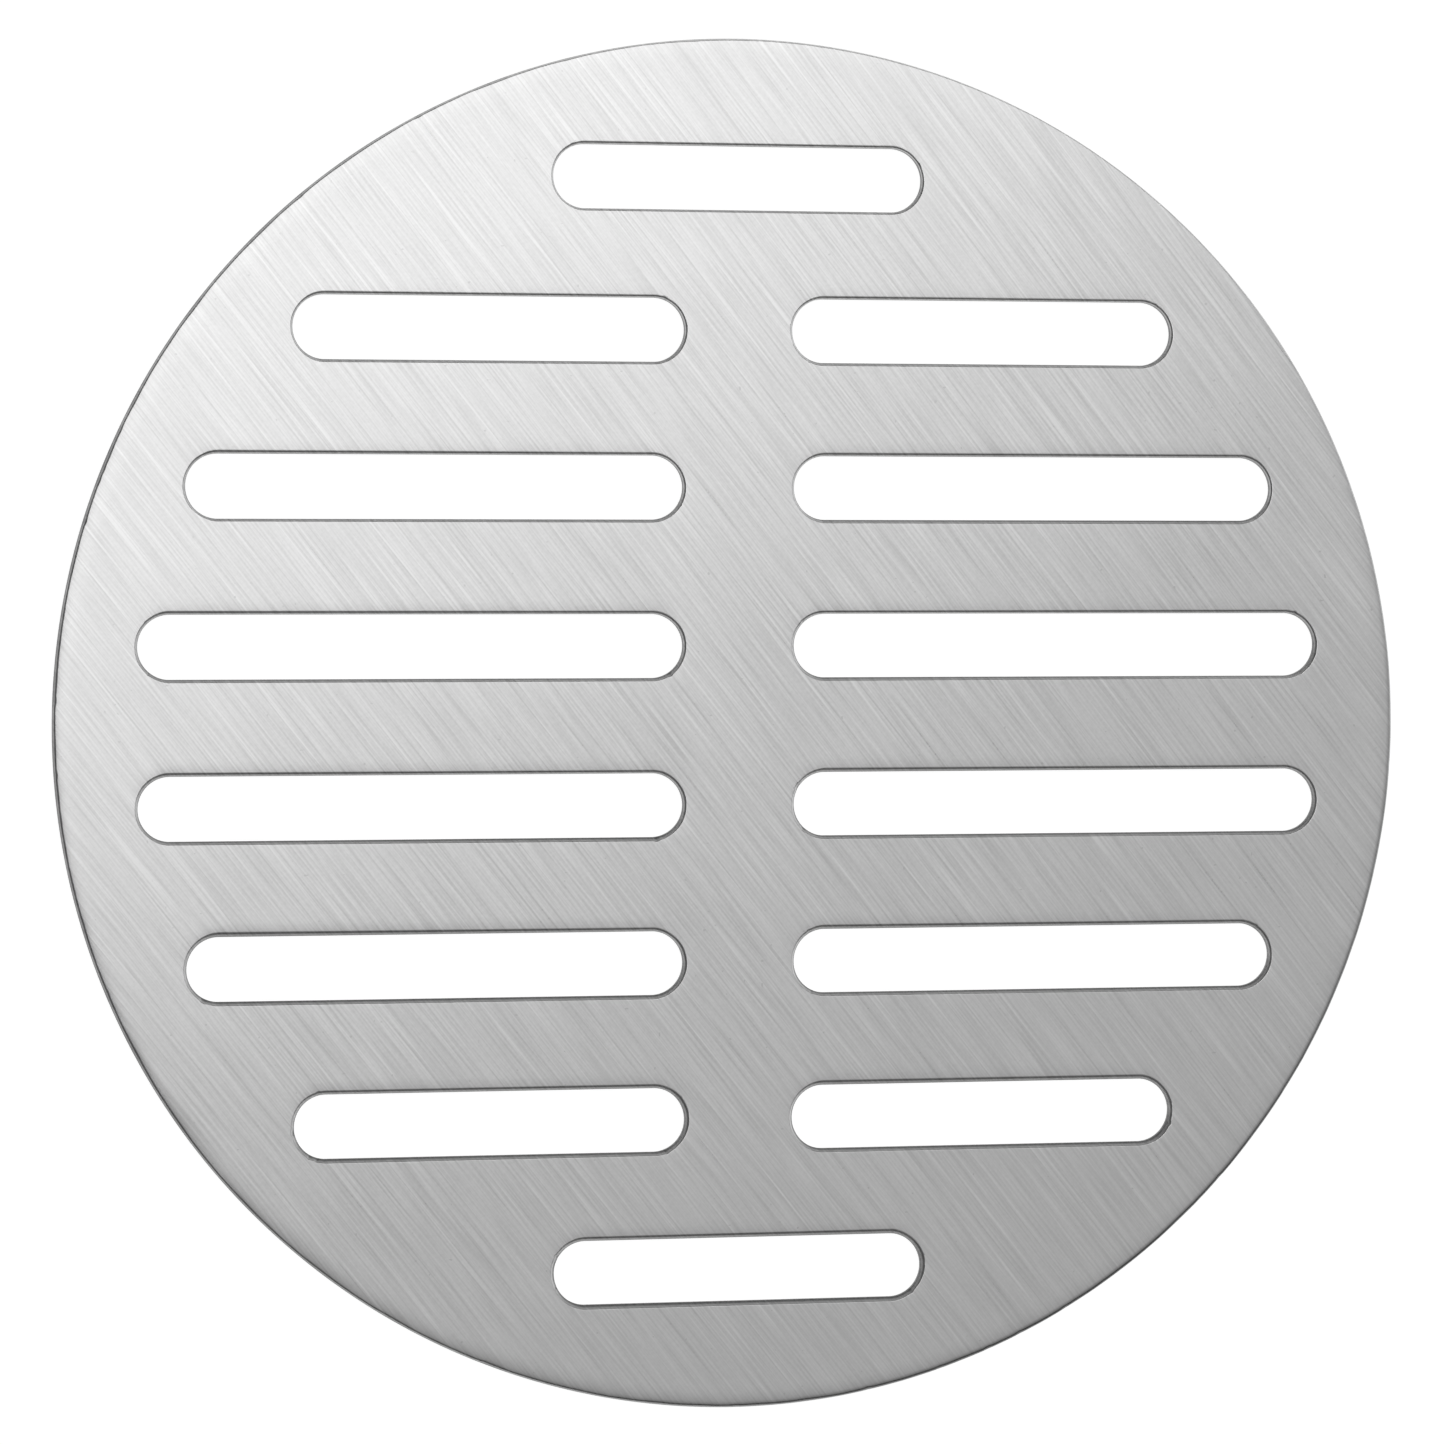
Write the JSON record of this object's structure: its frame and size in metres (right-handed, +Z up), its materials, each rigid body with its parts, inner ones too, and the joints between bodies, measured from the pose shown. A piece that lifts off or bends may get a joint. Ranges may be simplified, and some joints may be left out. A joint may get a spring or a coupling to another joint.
{
  "type": "floor drain grate",
  "caption": "Round flat stainless steel floor drain grate with rows of round-ended slots either side of a solid middle bar; drops loose into a drain recess.",
  "frame": {"origin": "centre of the underside, on the plane the plate lies on", "axes": "+Z up out of the brushed face that is walked on, +X along the slots, +Y across them"},
  "size_m": [0.15, 0.15, 0.001],
  "materials": {
    "brushed_stainless": "straight hairline brushed, satin"
  },
  "bodies": {
    "root": {"grate_plate": "brushed_stainless"}
  },
  "joints": []
}
